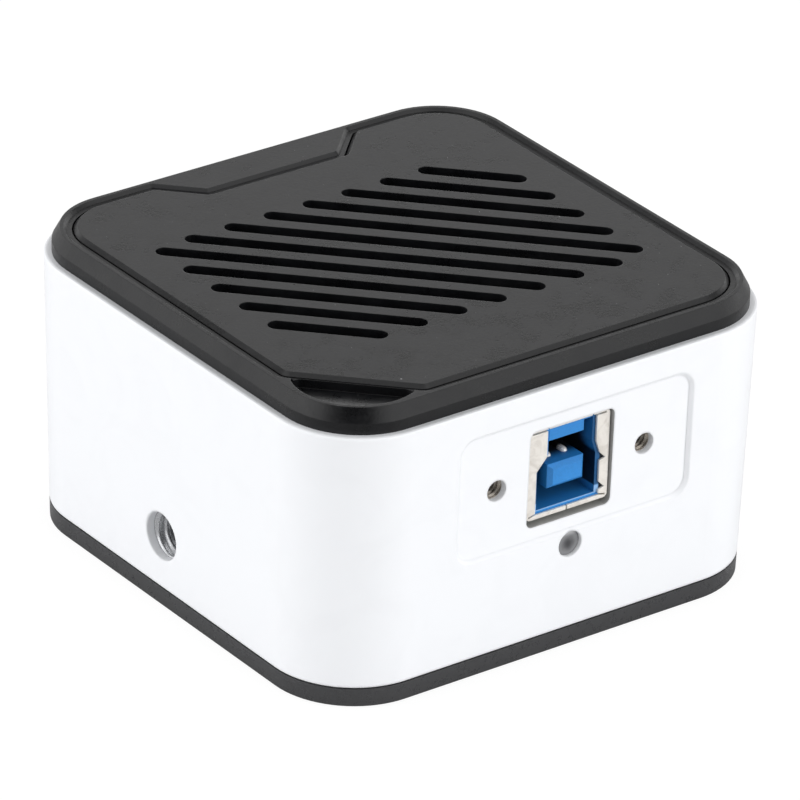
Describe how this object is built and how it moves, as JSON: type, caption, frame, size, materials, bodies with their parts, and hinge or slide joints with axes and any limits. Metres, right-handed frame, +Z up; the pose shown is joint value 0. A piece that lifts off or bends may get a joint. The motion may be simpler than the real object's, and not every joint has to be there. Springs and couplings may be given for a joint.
{
  "type": "microscope camera",
  "caption": "Square white microscope camera with a black vented cover, a black base with a threaded lens mount, a blue data port and a tripod thread.",
  "frame": {"origin": "middle of the underside, which is the lens mount's flange face", "axes": "+Z up, away from the lens mount; the data port faces -Y and the tripod thread faces -X"},
  "size_m": [0.07, 0.07, 0.0405],
  "materials": {
    "white_paint": "satin white paint on a die casting",
    "black_textured": "fine-textured black moulding",
    "black_anodised": "black anodised, satin",
    "black_fins": "matt black anodised",
    "dark_steel": "blackened steel",
    "plated_steel": "bright zinc plated",
    "nickel_shell": "satin nickel plated sheet",
    "blue_plastic": "bright blue moulding",
    "gold_contact": "polished plated contact",
    "pipe_plastic": "clear to milky light pipe",
    "lamp_plastic": "white lamp body",
    "seal_rubber": "matt black",
    "filter_glass": "coated filter glass",
    "clear_glass": "cover glass",
    "ceramic": "dark ceramic package",
    "board_green": "solder-masked circuit board",
    "connector_plastic": "ivory moulding",
    "chip_black": "matt moulded chip",
    "coil_grey": "pressed ferrite block",
    "can_aluminium": "bare aluminium can",
    "pad_grey": "soft thermal pad"
  },
  "bodies": {
    "root": {"housing": "white_paint", "top_frame": "black_textured", "vent_panel": "black_textured", "base_plate": "black_anodised", "case_screws": "dark_steel", "filter_seal": "seal_rubber", "filter_glass": "filter_glass", "filter_retainer": "black_anodised", "sensor_hood": "seal_rubber", "image_sensor": "ceramic", "sensor_glass": "clear_glass", "main_board": "board_green", "sensor_board": "board_green", "main_standoffs": "plated_steel", "board_screws": "plated_steel", "sensor_spacers": "plated_steel", "sensor_screws": "plated_steel", "board_plugs": "connector_plastic", "board_sockets": "connector_plastic", "processor_chip": "chip_black", "memory_chips": "chip_black", "port_controller": "chip_black", "power_coils": "coil_grey", "capacitors": "can_aluminium", "thermal_pad": "pad_grey", "heat_spreader": "black_fins", "spreader_posts": "plated_steel", "spreader_screws": "plated_steel", "port_shell": "nickel_shell", "port_insulator": "blue_plastic", "port_contacts": "gold_contact", "light_pipe": "pipe_plastic", "status_light": "lamp_plastic"}
  },
  "joints": []
}
